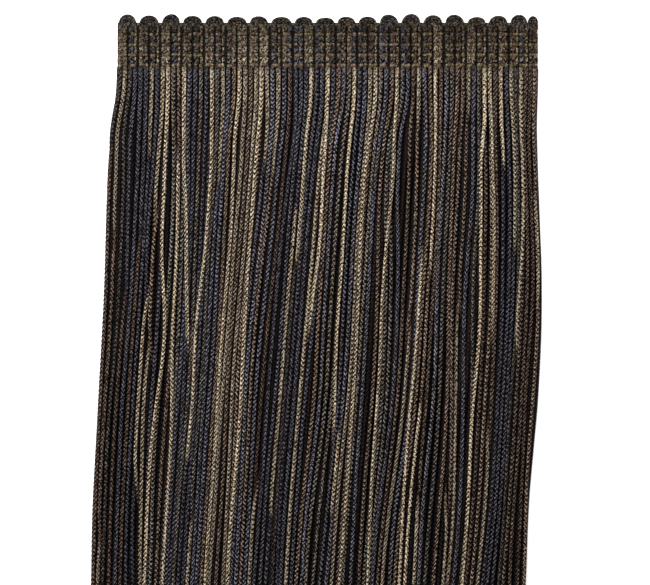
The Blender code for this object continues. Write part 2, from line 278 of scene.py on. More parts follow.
# %% [markdown]
# ## Turning routes into yarns
#
# Each yarn follows a route, a line of points. Geometry Nodes turns all routes of one colour into yarns at
# once. The route is cut into even steps, three to a stitch in front, and a ring of points goes round each.
# Then every point is pushed in by as much as its stitch height falls short of 1. The direction across the
# route comes in as an attribute, because only then does the angle round the yarn stay steady through bends.
# The last nodes of every tree make instances real and set the material, so that the export loses nothing.


# %% Geometry Nodes for yarn
YARN_INPUTS = {
    # name: kind of socket, usual value
    "Routes": ("Geometry", None),
    "Stitch": ("Float", STITCH * MM),
    "Rings a stitch": ("Int", 3),
    "Sides": ("Int", 8),
    "Radius": ("Float", 0.75 * MM),
    "Width": ("Float", 1.0),
    "Relief": ("Float", 0.3),
    "Material": ("Material", None),
}


def geometry_tree(name, inputs, output):
    """A board for a tree with named inputs and one output of geometry, and the wire of those inputs."""
    tree = bpy.data.node_groups.new(name, "GeometryNodeTree")
    for key, (kind, value) in inputs.items():
        socket = tree.interface.new_socket(name=key, in_out="INPUT", socket_type=f"NodeSocket{kind}")
        if value is not None:
            socket.default_value = value
    tree.interface.new_socket(name=output, in_out="OUTPUT", socket_type="NodeSocketGeometry")
    board = Board(tree)
    return board, board.add("NodeGroupInput")


def close_tree(board, mesh, inputs):
    """Ends a tree: instances become plain geometry, and the material is set."""
    mesh = board.add("GeometryNodeRealizeInstances", {"Geometry": mesh})
    material = inputs.other("Material")
    mesh = board.add("GeometryNodeSetMaterial", {"Geometry": mesh, "Material": material})
    board.add("NodeGroupOutput", {0: mesh})
    return board.tree


def smooth(board, mesh):
    """Geometry that is shaded smooth."""
    return board.add("GeometryNodeSetShadeSmooth", {"Geometry": mesh, "Shade Smooth": True})


def named(board, name, data_type="FLOAT"):
    """An attribute of the geometry."""
    return board.add("GeometryNodeInputNamedAttribute", {"Name": name}, data_type=data_type)


def store(board, mesh, name, value, data_type="FLOAT_VECTOR"):
    """Geometry with a value kept on each of its points."""
    inputs = {"Geometry": mesh, "Name": name, "Value": value}
    return board.add("GeometryNodeStoreNamedAttribute", inputs, data_type=data_type, domain="POINT")


def yarn_tree():
    """A tree that turns lines of points into knitted yarns."""
    board, routes = geometry_tree("knitted yarn", YARN_INPUTS, "Yarns")
    stitch, sides = routes.other("Stitch"), routes.other("Sides")
    step = stitch / routes.other("Rings a stitch")
    curve = board.add("GeometryNodeMeshToCurve", {"Mesh": routes})
    curve = board.add("GeometryNodeResampleCurve", {"Curve": curve, "Length": step}, mode="LENGTH")
    curve = board.add("GeometryNodeSetCurveNormal", {"Curve": curve}, mode="Z_UP")
    curve = store(board, curve, "core", board.add("GeometryNodeInputPosition"))
    ring = board.add("GeometryNodeCurvePrimitiveCircle", {"Resolution": sides, "Radius": 1.0})
    oval = board.vector(routes.other("Width"), 1.0, 1.0)
    ring = board.add("GeometryNodeTransform", {"Geometry": ring, "Scale": oval})
    thickness = named(board, "swell") * routes.other("Radius")
    tube = {"Curve": curve, "Profile Curve": ring, "Scale": thickness, "Fill Caps": True}
    mesh = board.add("GeometryNodeCurveToMesh", tube)
    core = named(board, "core", "FLOAT_VECTOR")
    outward = board.vectors("SUBTRACT", board.add("GeometryNodeInputPosition"), core)
    facing = board.vectors("NORMALIZE", outward)
    right = board.vectors("DOT_PRODUCT", facing, named(board, "side", "FLOAT_VECTOR")).other("Value")
    up = board.axis(facing, "Z")
    turn = named(board, "turn")
    turn_sine, turn_cosine = turn.maths("SINE"), turn.maths("COSINE")
    sine = right * turn_cosine - up * turn_sine
    cosine = up * turn_cosine + right * turn_sine
    along = named(board, "along") / stitch
    height = stitch_height(board, along, sine, cosine, named(board, "slant"))
    depth = (height - 1.0) * routes.other("Relief") * named(board, "clarity")
    push = board.add("ShaderNodeVectorMath", {0: outward, "Scale": depth}, operation="SCALE")
    mesh = board.add("GeometryNodeSetPosition", {"Geometry": mesh, "Offset": push})
    mesh = store(board, mesh, "stitch_place", along, "FLOAT")
    mesh = store(board, mesh, "round", board.vector(sine, cosine, up))
    for name in ("core", "side", "turn", "along", "swell"):
        mesh = board.add("GeometryNodeRemoveAttribute", {"Geometry": mesh, "Name": name})
    return close_tree(board, smooth(board, mesh), routes)


YARN_TREE = yarn_tree()
print("yarn tree", len(YARN_TREE.nodes), "nodes")

# %% [markdown]
# ## Smooth curves
#
# Nothing on a fringe has a corner. A drift that is known at a few depths becomes a curve through them, made of
# cubic pieces that meet at one slope, and what begins or ends on a strand does so with level ends.

# %% Curves
def smooth_between(values, places, where):
    """A smooth curve through values at rising places, read at one place. Beyond its ends it stays level."""
    last = len(places) - 1
    where = min(max(where, places[0]), places[last])
    left = 0
    while left < last - 1 and where > places[left + 1]:
        left += 1
    span = places[left + 1] - places[left]
    part = (where - places[left]) / span
    before, after = max(left - 1, 0), min(left + 2, last)
    slope_a = (values[left + 1] - values[before]) / (places[left + 1] - places[before]) * span
    slope_b = (values[after] - values[left]) / (places[after] - places[left]) * span
    square, cube = part * part, part * part * part
    return (
        values[left] * (2 * cube - 3 * square + 1)
        + slope_a * (cube - 2 * square + part)
        + values[left + 1] * (3 * square - 2 * cube)
        + slope_b * (cube - square)
    )


def ease(part):
    """From 0 to 1 with level ends."""
    part = min(max(part, 0.0), 1.0)
    return part * part * (3 - 2 * part)


print("a quarter of the way eases to", ease(0.25))

# %% [markdown]
# ## How the skirt hangs
#
# The strands don't fall straight. The whole skirt drifts to the left on its way down, more in the middle than
# at its sides, and strands gather into bunches with dark gaps between them. The table below gives the drift
# at eight of the lane edges for each depth. Waves of a few lengths then share out what room is left between
# those. The layer behind is spread evenly, half a lane aside, so that it shows in the gaps of the front one.
# A third spread, quite even, is what strands that lie on top keep to.

# %% Lanes of the skirt
LEAST_PITCH = 1.2
# lengths and sizes of the waves, the run over which bunches form, and how the shift aside fades to the right
BUNCH_WAVES = ((400.0, 1.0), (170.0, 0.6), (75.0, 0.16))
BUNCH_ONSET = 22.0
STAGGER_FADE = 4
DRIFT_LANES = (0, 12, 24, 36, 48, 60, 72, 78)
DRIFT_ROWS = (
    # depth, then the drift at each of the lane edges
    (15.9, 0.0, 0.0, 0.0, 0.0, 0.0, 0.0, 0.0, 0.0),
    (28.0, -2.1, 0.1, -0.2, -0.6, -0.7, -0.2, 0.5, -0.6),
    (55.0, -3.3, -0.1, -2.2, -3.2, -3.3, -1.0, 1.1, 0.2),
    (85.0, -4.2, -1.3, -4.8, -6.0, -5.2, -2.8, 0.4, 1.2),
    (115.0, -5.8, -2.9, -7.3, -8.3, -7.1, -4.4, -1.3, 0.1),
    (145.0, -7.3, -5.2, -9.4, -10.5, -9.6, -6.9, -3.3, -2.5),
    (170.0, -8.1, -6.8, -11.0, -11.8, -11.4, -8.3, -5.8, -3.4),
    (182.0, -8.7, -7.6, -11.6, -12.3, -12.2, -9.2, -7.0, -4.2),
)


def bunch_phases(seed):
    """A phase for each wave of each lane."""
    dice = random.Random(seed)
    return [[dice.uniform(0, math.tau) for _ in BUNCH_WAVES] for _ in range(LANES)]


def lane_edges(depth, phases, bunching, stagger):
    """Where the edges of all lanes are at a depth, in millimetres from the heading's left end."""
    depths = [row[0] for row in DRIFT_ROWS]
    onset = ease((depth - HEADING_DEPTH) / BUNCH_ONSET)
    shares = []
    for lane_phases in phases:
        wave = sum(
            size * math.sin(math.tau * depth / length + phase)
            for (length, size), phase in zip(BUNCH_WAVES, lane_phases)
        )
        shares.append(math.exp(onset * bunching * wave))
    pinned = []
    for column, lane in enumerate(DRIFT_LANES, start=1):
        drift = smooth_between([row[column] for row in DRIFT_ROWS], depths, depth)
        fade = 1.0 - (lane / LANES) ** STAGGER_FADE
        pinned.append(lane_edge(lane) + drift + stagger * onset * fade)
    edges = [pinned[0]]
    for section in range(len(DRIFT_LANES) - 1):
        first, end = DRIFT_LANES[section], DRIFT_LANES[section + 1]
        slack = pinned[section + 1] - pinned[section] - LEAST_PITCH * (end - first)
        whole = sum(shares[first:end])
        for lane in range(first, end):
            edges.append(edges[-1] + LEAST_PITCH + slack * shares[lane] / whole)
    return [lane_edge(lane) * (1 - onset) + edge * onset for lane, edge in enumerate(edges)]


SKIRT_STEP = 3.0
SKIRT_DEPTHS = [HEADING_DEPTH]
while SKIRT_DEPTHS[-1] < FRINGE_LENGTH + LENGTH_SPREAD:
    SKIRT_DEPTHS.append(SKIRT_DEPTHS[-1] + SKIRT_STEP)
BUNCHES = {
    # seed, how strongly the strands bunch, how far they are set aside
    "back": (41, 0.15, 0.8),
    "front": (42, 1.2, 0.0),
    "even": (0, 0.0, 0.0),
}
# the height of the yarns' middles above the surface
LEVELS = {"back": 0.86, "front": 2.28}
LANE_TABLES = {
    name: [lane_edges(depth, bunch_phases(seed), bunching, stagger) for depth in SKIRT_DEPTHS]
    for name, (seed, bunching, stagger) in BUNCHES.items()
}


def skirt_lane(layer, lane, step):
    """The middle of a lane at one of the skirt's depths."""
    edges = LANE_TABLES[layer][step]
    return (edges[lane] + edges[lane + 1]) / 2


print("skirt depths", len(SKIRT_DEPTHS), "from", SKIRT_DEPTHS[0], "to", round(SKIRT_DEPTHS[-1], 1))

# %% [markdown]
# ## Strands that ride over the rest
#
# Some of the front strands have worked loose and lie on top of their neighbours, most of them bright ones.
# Each lifts at some depth and then wanders sideways, over one or two lanes. A strand from behind comes forward
# and fills the place that it leaves.

# %% Riders
LIFT_RUN = 9.0
WANDER_RUN = 18.0
LIFT_HEIGHT = 0.7
RIDER_DEPTHS = (45.0, 70.0, 95.0, 120.0, 145.0, 170.0)
RIDERS = (
    # lane, the yarn that fills its place, depth where it lifts, then how many lanes it is off its own at each
    # of the depths above
    (9, "N", 20.0, -0.3, -0.2, 0.7, 0.0, -0.2, -0.1),
    (11, "B", 30.0, 0.0, 0.0, 0.1, 0.9, 1.2, 1.4),
    (12, "C", 24.0, -0.1, 0.9, 1.8, 1.8, 1.7, 1.6),
    (17, "N", 20.0, 0.3, 0.0, -0.9, -0.5, -1.2, -1.5),
    (26, "B", 20.0, -0.2, -0.1, 0.4, 0.7, 0.7, 0.6),
    (38, "C", 16.0, 0.5, 1.2, 0.6, 0.5, 1.0, 1.3),
    (43, "N", 20.0, 0.0, 0.5, 0.7, 1.2, 1.2, 1.2),
    (47, "B", 20.0, -0.3, -0.2, 0.1, 0.3, 0.5, 0.3),
    (51, "C", 22.0, 0.4, 0.2, 0.2, 0.1, 0.6, 1.0),
    (57, "B", 60.0, 0.0, 0.3, 0.0, -0.5, -0.5, -0.2),
    (67, "b", 20.0, -0.9, -0.8, -0.3, -0.5, -0.1, 0.0),
    (68, "B", 30.0, 0.1, 0.6, 1.0, 1.0, 1.0, 1.0),
    (74, "n", 24.0, -0.1, -0.3, -0.9, -0.9, -0.9, -0.9),
)
RIDER_OF_LANE = {lane: rest for lane, _, *rest in RIDERS}


def rider_offset(depth, step, lane, lift, *offsets):
    """How far a rider is raised and moved sideways at a depth, in millimetres."""
    raised = ease((depth - lift) / LIFT_RUN)
    free = ease((depth - lift - LIFT_RUN) / WANDER_RUN)
    wander = smooth_between(offsets, RIDER_DEPTHS, depth) * LANE_PITCH
    evened = skirt_lane("even", lane, step) - skirt_lane("front", lane, step)
    return raised * LIFT_HEIGHT, wander * free + evened


print("riders", len(RIDERS))

# %% [markdown]
# ## Strands that change places
#
# Others go under on their way down, and an extra strand comes forward in their place. Those behind stay where
# they are. The table gives, for a lane, the stretch over which the extra strand lies in front, and its yarn.
# Some stretches begin above the skirt, and many go on to the tips.

# %% Changes of place
SWAP_RUN = 22.0
SWAP_SIDESTEP = 0.2
SUNK_LEVEL = 0.1
TOP, TIP = -99.0, 999.0
IN_ITS_LAYER = (TIP, TIP)
SWAPS = (
    # lane, from which depth, to which depth, the yarn that is in front there
    (0, 40.0, TIP, "b"),
    (1, 66.0, 157.0, "b"),
    (3, 84.0, TIP, "b"),
    (5, 67.0, TIP, "b"),
    (6, 42.0, TIP, "n"),
    (7, 84.0, 141.0, "T"),
    (8, 61.0, 100.0, "B"),
    (11, TOP, 43.0, "B"),
    (12, 97.0, TIP, "C"),
    (17, 134.0, TIP, "n"),
    (18, 151.0, TIP, "t"),
    (19, 50.0, TIP, "N"),
    (27, 45.0, TIP, "N"),
    (29, 48.0, TIP, "B"),
    (31, 144.0, TIP, "t"),
    (34, 58.0, 150.0, "t"),
    (35, 73.0, TIP, "c"),
    (38, 91.0, TIP, "t"),
    (43, 121.0, TIP, "C"),
    (45, 126.0, 149.0, "T"),
    (55, 33.0, 95.0, "B"),
    (57, TOP, 74.0, "B"),
    (58, 76.0, 117.0, "B"),
    (59, 145.0, TIP, "T"),
    (63, 146.0, TIP, "t"),
    (64, 29.0, 86.0, "B"),
    (68, 92.0, TIP, "B"),
    (69, 126.0, TIP, "t"),
    (70, 44.0, TIP, "n"),
    (72, 70.0, TIP, "n"),
    (74, 98.0, TIP, "b"),
    (77, 53.0, 88.0, "t"),
)
SINKERS = {lane: (start, end) for lane, start, end, _ in SWAPS}
RISERS = {lane: (letter, start, end) for lane, start, end, letter in SWAPS}
for lane, letter, lift, *_ in RIDERS:
    letter, start, _ = RISERS.get(lane, (letter, TIP, TIP))
    RISERS[lane] = (letter, min(start, lift + LIFT_RUN), TIP)


def within(depth, start, end):
    """How far a strand has gone under or come forward at a depth, from 0 to 1. It is half way at each end."""
    return min(ease((depth - start) / SWAP_RUN + 0.5), ease((end - depth) / SWAP_RUN + 0.5))


print("sinking", len(SINKERS), "rising", len(RISERS))

# %% [markdown]
# ## What a route carries
#
# A route is the middle line of one yarn. Besides its points it carries what the yarn tree needs: how far along
# each point is, how thick the yarn is there, how clearly its stitches show, how it is turned, and its dye. No
# two yarns are alike, so dice give each its own knitting: looser or tighter, leaning or V shaped, and turned
# slowly one way and the other on its way down.

# %% A route
COLOUR_NAMES = {"T": "tan", "N": "navy", "B": "brown", "C": "charcoal", "E": "tan"}
TIGHTNESS, THICKNESS = (0.93, 1.04), (0.9, 1.04)
# turns round the yarn, in degrees
MOST_TURN = 80.0
TURN_WAVE_LENGTHS, TURN_WAVE_DEGREES = (40.0, 110.0), (10, 32)
# the share of yarns whose rungs lean, how much they lean, and how much darker a yarn gets towards the tips
SLANTED_SHARE, SLANTS = 0.8, (0.25, 1.0)
MOST_TIP_DARKENING = 0.8


class Route:
    """The middle line of a yarn, in metres, with what changes along it."""

    def __init__(self, letter, dice, dye):
        self.colour = COLOUR_NAMES[letter.upper()]
        self.points, self.swells, self.clarities = [], [], []
        self.start = dice.uniform(0.0, STITCH)
        self.tightness = dice.uniform(*TIGHTNESS)
        self.thickness = dice.uniform(*THICKNESS)
        self.turn = math.radians(dice.triangular(-MOST_TURN, MOST_TURN, 0.0))
        wave_length, wave_phase = dice.uniform(*TURN_WAVE_LENGTHS), dice.uniform(0, math.tau)
        self.turn_wave = (wave_length, wave_phase, math.radians(dice.uniform(*TURN_WAVE_DEGREES)))
        self.slant = dice.uniform(*SLANTS) if dice.random() < SLANTED_SHARE else 0.0
        self.dye = dye
        self.tip_darkening = dice.uniform(0.0, MOST_TIP_DARKENING)

    def add(self, point, swell, clarity=1.0):
        """One more point of the line, with the yarn's thickness and clarity there."""
        self.points.append(point)
        self.swells.append(swell * self.thickness)
        self.clarities.append(clarity)


print("colours of yarn", sorted(set(COLOUR_NAMES.values())))

# %% [markdown]
# ## Routes in the heading
#
# In the heading a yarn comes down its rib, where each stitched row pinches it. Packed together there the yarns
# puff up and their stitches blur, most of all at the top. Some ribs have a thin bright yarn at their edge, with
# a thick one beside it.

# %% Routes down the ribs
BINDING_DEPTHS = (5.5, 8.6, 11.7, 14.8)
ROW_PITCH = BINDING_DEPTHS[1] - BINDING_DEPTHS[0]
# how far a row's pinch reaches, how deep it draws a yarn in, and how much thinner it makes it
PINCH_REACH, PINCH_DROP, PINCH_THIN = 0.8, 0.42, 0.2
HEADING_STEP = 0.35
HEADING_SWELL = 1.28
RIB_CLARITY = 0.3
# how far the two yarns of a rib are from its middle, and its own shift towards its scallop's middle
RIB_HALF_SPREAD = 0.66
RIB_SHIFT = 0.07
# where the ribs begin, and the run over which they come up from under the scallops
RIB_TOP, RIB_TOP_SPREAD = 2.5, 0.2
RIB_TOP_RUN, RIB_TOP_DROP, RIB_TOP_THIN = 1.2, 0.5, 0.35
CLARITY_AT_TOP = 0.18
EDGE_YARN = {"across": 0.34, "swell": 0.55, "level": -0.12, "clarity": 0.75}
EDGE_PARTNER = {"across": 0.26, "swell": 1.2, "level": -0.1, "clarity": 0.75}
PLAIN_YARN = {"across": 0.0, "swell": 1.0, "level": 0.0, "clarity": 0.82}
ROOT_OVERLAP = 0.2


def pinch(depth):
    """How much the stitched rows pinch a rib at a depth, from 0 to 1."""
    return max(math.exp(-(((depth - row) / PINCH_REACH) ** 2)) for row in BINDING_DEPTHS)


def rib_place(lane):
    """The middle of a lane in the heading. Both yarns of a rib lie close, and so do both ribs of a scallop."""
    rib, second = divmod(lane, 2)
    shift = -RIB_SHIFT if rib % 2 else RIB_SHIFT
    middle, width = (rib_edge(rib) + rib_edge(rib + 1)) / 2, rib_edge(rib + 1) - rib_edge(rib)
    spread = RIB_HALF_SPREAD * width / RIB_PITCH
    return middle + shift + (spread if second else -spread)


def add_rib_point(route, across, depth, height, is_front):
    """A point of a yarn inside the heading, pinched where a stitched row is near. The back stays flat."""
    squeeze = pinch(depth)
    level = height - (PINCH_DROP * squeeze if is_front else 0.0)
    puffed = HEADING_SWELL if is_front else 1.0
    route.add(place(across, depth, level), puffed - PINCH_THIN * squeeze, RIB_CLARITY)


def rib_route(lane, letter, partner, dice, dye):
    """One front yarn of the heading, from under the scallops to the last stitched row."""
    route = Route(letter, dice, dye)
    form = EDGE_YARN if letter == "e" else EDGE_PARTNER if partner == "e" else PLAIN_YARN
    across = rib_place(lane) + form["across"]
    top = RIB_TOP + dice.uniform(-RIB_TOP_SPREAD, RIB_TOP_SPREAD)
    depth = top
    while depth < BINDING_DEPTHS[-1] + ROOT_OVERLAP:
        sunk = 1.0 - ease((depth - top) / RIB_TOP_RUN)
        squeeze = pinch(depth)
        level = LEVELS["front"] + form["level"] - PINCH_DROP * squeeze - RIB_TOP_DROP * sunk
        swell = (HEADING_SWELL - PINCH_THIN * squeeze) * form["swell"] * (1.0 - RIB_TOP_THIN * sunk)
        clearer = CLARITY_AT_TOP + (1.0 - CLARITY_AT_TOP) * (depth - top) / (BINDING_DEPTHS[-1] - top)
        route.add(place(across, depth, level), swell, form["clarity"] * clearer)
        depth += HEADING_STEP
    return route


print("pinch on a row", round(pinch(BINDING_DEPTHS[0]), 2))

# %% [markdown]
# ## Routes in the skirt
#
# Under the last row the yarns change places, so the strands of the skirt are routes of their own. A strand
# starts at a stitched row, settles into its lane, and sways a little on its way down. Its stitches soon get
# clear below the heading. Yarns of different colours don't lie equally high: the bright ones stand out, and
# the duller and deeper ones lie lower.

# %% Routes down the skirt
# the run from a rib's place to the lane's, then how far a free strand sways aside and up
SETTLE_RUN = 2.0
SWAY, LEVEL_SWAY = 0.11, 0.12
SWAY_LENGTHS = (50.0, 140.0)
LEVEL_OF_YARN = {"T": 0.14, "t": -0.22, "N": 0.02, "n": -0.1, "B": 0.0, "b": -0.1, "C": -0.04, "c": -0.1}
LEVEL_SPREAD = 0.12
LOWEST_MIDDLE = LEVELS["back"]
CLEARING_RUNS = (
    # share of the clearing, how far above the skirt it begins, over what run
    (0.8, 0.5, 2.0),
    (0.2, 0.0, 32.0),
)
TOP_SWELL, TOP_SWELL_RUN, TIP_SWELL = 0.18, 32.0, 0.9


def clarity_at(depth):
    """How clearly a free strand shows its stitches, which are blurred where it leaves the heading."""
    below = depth - HEADING_DEPTH
    clearing = sum(share * ease((below + lead) / run) for share, lead, run in CLEARING_RUNS)
    return RIB_CLARITY + (1.0 - RIB_CLARITY) * clearing


def swell_at(depth):
    """How thick a front strand is, which is puffed up where it leaves the heading."""
    return 1.0 + TOP_SWELL * (1.0 - ease((depth - HEADING_DEPTH) / TOP_SWELL_RUN))


def lane_route(layer, lane, letter, length, dice, dye, stretch):
    """One strand of the skirt. Those at the back start behind the first stitched row. Over a stretch of its
    way a strand may lie in the other layer."""
    height = LEVELS[layer]
    route = Route(letter, dice, dye)
    is_front = layer == "front"
    waves = [(dice.uniform(*SWAY_LENGTHS), dice.uniform(0, math.tau)) for _ in range(3)]
    sway_size, level_sway, spread = 0.0, 0.0, 0.0
    if is_front:
        sway_size, level_sway = SWAY, LEVEL_SWAY
        spread = LEVEL_OF_YARN[letter] + dice.uniform(-LEVEL_SPREAD, LEVEL_SPREAD)
    depth = BINDING_DEPTHS[-1 if is_front else 0] - ROOT_OVERLAP
    while depth < HEADING_DEPTH:
        settle = ease((depth - HEADING_DEPTH) / SETTLE_RUN + 1.0)
        across = rib_place(lane) * (1 - settle) + skirt_lane(layer, lane, 0) * settle
        add_rib_point(route, across, depth, height, is_front)
        depth += HEADING_STEP
    rider = RIDER_OF_LANE.get(lane) if is_front else None
    other = "back" if is_front else "front"
    other_height = LEVELS[other] + (SUNK_LEVEL if is_front else 0.0)
    sidestep = SWAP_SIDESTEP if is_front else -SWAP_SIDESTEP
    for step, depth in enumerate(SKIRT_DEPTHS):
        if depth > length:
            break
        loose = ease((depth - HEADING_DEPTH) / BUNCH_ONSET)
        sway = sum(math.sin(math.tau * depth / run + phase) for run, phase in waves)
        across = skirt_lane(layer, lane, step) + loose * sway_size * sway
        rise = level_sway * math.sin(math.tau * depth / waves[0][0] + waves[1][1])
        level = height + loose * (spread + rise)
        if rider:
            raised, sideways = rider_offset(depth, step, lane, *rider)
            across, level = across + sideways, level + raised
        gone = within(depth, *stretch)
        if not is_front:
            across += (skirt_lane(other, lane, step) - across) * gone
        across += sidestep * math.sin(math.pi * gone)
        level += (other_height - level) * gone
        swell = swell_at(depth) if is_front else 1.0
        route.add(place(across, depth, max(level, LOWEST_MIDDLE)), swell, clarity_at(depth))
    route.add(place(across, length, max(level, LOWEST_MIDDLE)), TIP_SWELL)
    return route


print("first strand at the tips", round(skirt_lane("front", 0, -1), 1), "mm from the heading's left end")

# %% [markdown]
# ## Which yarn is which
#
# Four yarns are used: tan, navy, brown and charcoal. They follow no pattern, so the front ones are charted,
# two for each rib from left to right, once for the heading and once for the skirt. A small letter has a
# deeper dye, or a duller one if it is tan, and an e is a thin bright yarn. Those behind are mostly dark, and
# dice choose them.

# %% Chart of the colours
HEADING_CHART = (
    "tt Ne tC Ce tt Ne tC Ce tt Ce Ct tT tt TT Ne tN NN tt NC tC "
    "CB tN CC Be NN Be NC Be CB Tt CB Be tt Be CB tB Be Ne BB"
).replace(" ", "")
FRONT_CHART = (
    "ct cn nn tn tT CT TN nC nT Ct NB Tt Bt Tt Nt Nb nn nT nn Tn "
    "BN CT nN tT CN BT CN Bt NT TB NC BB tN CT Tb Tn tc tb bB"
).replace(" ", "")
DULL_TAN_DYE, BRIGHT_TAN_DYE = (-1.0, -0.4), (0.3, 1.0)
DEEP_DYE, USUAL_DYE = (-1.6, -1.0), (-1.0, 0.7)
BACK_CHOICE = "NNCCBBBBt"
SCALLOP_CHART = "NC NB NC CN CC CB BC CC CN CB CB CC NN NC CB CC BC BC NC BC".split()


def dye_of(letter, dice):
    """How far a yarn's dye is from the usual one. A deeper dye is below 0, and a lighter one above it."""
    if letter in "Tte":
        return dice.uniform(*(DULL_TAN_DYE if letter == "t" else BRIGHT_TAN_DYE))
    return dice.uniform(*(DEEP_DYE if letter.islower() else USUAL_DYE))


print("lanes in the heading", len(HEADING_CHART), "and in the skirt", len(FRONT_CHART))

# %% [markdown]
# ## Laying the routes
#
# Now each chart becomes routes: the two layers of the skirt, the extra strands that come forward, and the two
# yarns of every rib. The strands aren't cut equally long.

# %% All routes but the scallops
ROUTE_SEED, LENGTH_SEED = 77, 23
dice = random.Random(ROUTE_SEED)
lengths = random.Random(LENGTH_SEED)
routes = {}


def keep(layer, route):
    """Puts a route with the others of its layer and colour."""
    routes.setdefault((layer, route.colour), []).append(route)


for layer in ("back", "front"):
    for lane in range(LANES):
        letter = FRONT_CHART[lane] if layer == "front" else dice.choice(BACK_CHOICE)
        length = FRINGE_LENGTH + lengths.uniform(-LENGTH_SPREAD, LENGTH_SPREAD)
        stretch = SINKERS.get(lane, IN_ITS_LAYER) if layer == "front" else IN_ITS_LAYER
        keep(layer, lane_route(layer, lane, letter, length, dice, dye_of(letter, dice), stretch))
for lane, (letter, *stretch) in RISERS.items():
    length = FRINGE_LENGTH + lengths.uniform(-LENGTH_SPREAD, LENGTH_SPREAD)
    keep("riser", lane_route("back", lane, letter, length, dice, dye_of(letter, dice), stretch))
for lane, letter in enumerate(HEADING_CHART):
    partner = HEADING_CHART[lane ^ 1]
    keep("front", rib_route(lane, letter, partner, dice, dye_of(letter, dice)))
print({key: len(value) for key, value in routes.items()})

# %% [markdown]
# ## Scallops
#
# At the top the yarns bend over and come down the next rib. That makes a scallop at the head of each pair of
# ribs: a thin smooth rim and two chained yarns inside it. Their legs end behind the tops of the ribs. No two
# scallops stand equally high. The last rib has no partner, so its yarns fold over by themselves, puffed up a
# little.

# %% Scallop routes
FULL_SCALLOPS = LANES // 4
SCALLOP_BASE = 2.1
LEAST_RISE = 0.1
SCALLOP_RISES = (
    # millimetres by which each scallop stands above the line of their tops, from the left
    *(0.45, 0.1, 0.55, 0.0, -0.05, -0.3, -0.1, -0.35, -0.3, -0.55),
    *(-0.25, -0.25, 0.4, 0.55, 0.2, 0.35, -0.35, 0.05, 0.35, -0.05),
)
SCALLOP_SEED = 11
SCALLOP_LEAN = 0.12
SCALLOP_FOOT = 4.2
ARCS = (
    # the rim, then the yarns inside it: inset, drop, radius, level on top and at the foot, clarity, dye
    {"inset": 0.26, "drop": 0.0, "radius": 0.36, "level": 2.3, "foot": 1.9, "clarity": 0.25, "dye": 1.0},
    {"inset": 0.42, "drop": 0.52, "radius": 0.48, "level": 1.95, "foot": 1.8, "clarity": 0.62, "dye": -0.8},
    {"inset": 0.68, "drop": 1.3, "radius": 0.5, "level": 1.7, "foot": 1.6, "clarity": 0.62, "dye": -0.2},
)
ARC_STEPS = 14
END_SCALLOP_GROWTH = 0.4
MEAN_RADIUS = 0.67


def scallop_middle(scallop):
    """The middle of a scallop and half its width. The last one, on a single rib, is puffed up a little."""
    left = rib_edge(2 * scallop)
    if scallop < FULL_SCALLOPS:
        right = rib_edge(2 * scallop + 2)
        return (left + right) / 2, (right - left) / 2
    right = rib_edge(2 * scallop + 1)
    return (left + right) / 2, (right - left) / 2 + END_SCALLOP_GROWTH


def scallop_route(centre, half, arc, rise, lean, letter, dice):
    """A yarn that comes up behind one rib, bends over and goes down behind the next."""
    route = Route(letter, dice, arc["dye"])
    reach = half * (1.0 - arc["inset"])
    legs = []
    steps = int((SCALLOP_FOOT - SCALLOP_BASE) / HEADING_STEP)
    for step in range(steps):
        part = step / steps
        depth = SCALLOP_FOOT + (SCALLOP_BASE - SCALLOP_FOOT) * part
        legs.append((depth, arc["foot"] + (arc["level"] - arc["foot"]) * ease(part)))
    points = [(centre - reach, *foot) for foot in legs]
    for step in range(ARC_STEPS + 1):
        angle = math.pi * step / ARC_STEPS
        up = rise * math.sin(angle)
        points.append((centre - reach * math.cos(angle) + lean * up, SCALLOP_BASE - up, arc["level"]))
    points += [(centre + reach, *foot) for foot in reversed(legs)]
    for point in points:
        route.add(place(*point), arc["radius"] / MEAN_RADIUS, arc["clarity"])
    return route


shape_dice = random.Random(SCALLOP_SEED)
scallop_rises = []
for scallop, extra in enumerate(SCALLOP_RISES):
    centre, half = scallop_middle(scallop)
    lean = shape_dice.uniform(-SCALLOP_LEAN, SCALLOP_LEAN)
    scallop_rises.append(SCALLOP_BASE + extra)
    for arc, letter in zip(ARCS, "C" + SCALLOP_CHART[scallop]):
        rise = max(scallop_rises[scallop] - arc["radius"] - arc["drop"], LEAST_RISE)
        keep("front", scallop_route(centre, half, arc, rise, lean, letter, dice))
print("front routes with the scallops", sum(len(r) for (layer, _), r in routes.items() if layer == "front"))

# %% [markdown]
# ## Dyes and cloth
#
# A dye is given as a screen would show it, in three numbers up to 255, and turned to the linear values that
# Blender wants. Every cloth here is finished in one way: its colour, roughness and relief vary, and it mirrors
# little. Patterns are laid out on Object coordinates. They are the shared frame's own metres, because every
# piece sits at the origin.

# %% Helpers for finishes
BRIGHTNESS = 0.53
CLOTH_SPECULAR = 0.1


def dye(red, green, blue):
    """A colour as read off a screen, turned to the linear values of a dye under the bright lamps below, by the
    formula that screens follow."""
    values = [value / 255 for value in (red, green, blue)]
    linear = [v / 12.92 if v <= 0.04045 else ((v + 0.055) / 1.055) ** 2.4 for v in values]
    return (*(v * BRIGHTNESS for v in linear), 1.0)


def new_material(name):
    """An empty material with its shader, as a board."""
    material = bpy.data.materials.new(name)
    material.use_nodes = True
    board = Board(material.node_tree)
    shader = material.node_tree.nodes["Principled BSDF"]
    return material, board, shader


def finish_cloth(board, shader, shade, roughness, relief, height):
    """Gives a shader its colour, its roughness and its relief. Cloth mirrors very little."""
    bump = board.add("ShaderNodeBump", {**relief, "Height": height})
    board.put(shader.inputs["Base Color"], shade)
    board.put(shader.inputs["Roughness"], roughness)
    board.put(shader.inputs["Normal"], bump)
    board.put(shader.inputs["Specular IOR Level"], CLOTH_SPECULAR)


